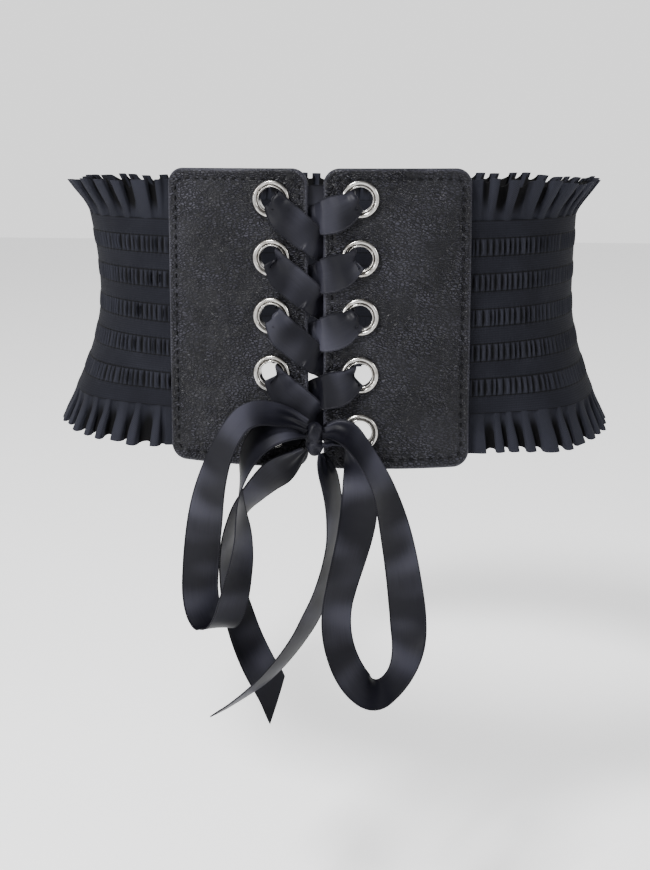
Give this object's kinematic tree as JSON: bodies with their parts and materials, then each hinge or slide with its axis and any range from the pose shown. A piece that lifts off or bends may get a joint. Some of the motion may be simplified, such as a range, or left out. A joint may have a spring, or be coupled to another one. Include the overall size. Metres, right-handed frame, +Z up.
{
  "type": "corset belt",
  "caption": "Laced corset belt: a shirred elastic waistband with ruffled edges and two stiff front panels, tied with a satin ribbon bow.",
  "frame": {"origin": "middle of the waist hollow, halfway up the front panels", "axes": "+Z up along the wearer's body, -Y out of the laced front, +X to the right of the front view"},
  "size_m": [0.312, 0.2603, 0.2823],
  "materials": {
    "leather": "soft sheen, grained",
    "elastic": "matt, ribbed",
    "ruffle_cloth": "matt, fine twill",
    "eyelet_metal": "polished, slightly tarnished",
    "satin": "satin sheen"
  },
  "bodies": {
    "root": {"left_panel": "leather", "right_panel": "leather", "elastic_band": "elastic", "upper_ruffle": "ruffle_cloth", "lower_ruffle": "ruffle_cloth", "eyelet_left_1": "eyelet_metal", "eyelet_left_2": "eyelet_metal", "eyelet_left_3": "eyelet_metal", "eyelet_left_4": "eyelet_metal", "eyelet_left_5": "eyelet_metal", "eyelet_right_1": "eyelet_metal", "eyelet_right_2": "eyelet_metal", "eyelet_right_3": "eyelet_metal", "eyelet_right_4": "eyelet_metal", "eyelet_right_5": "eyelet_metal", "lace": "satin", "bow_knot": "satin", "bow_left_loop": "satin", "bow_right_loop": "satin", "bow_left_tail": "satin", "bow_right_tail": "satin"}
  },
  "joints": []
}
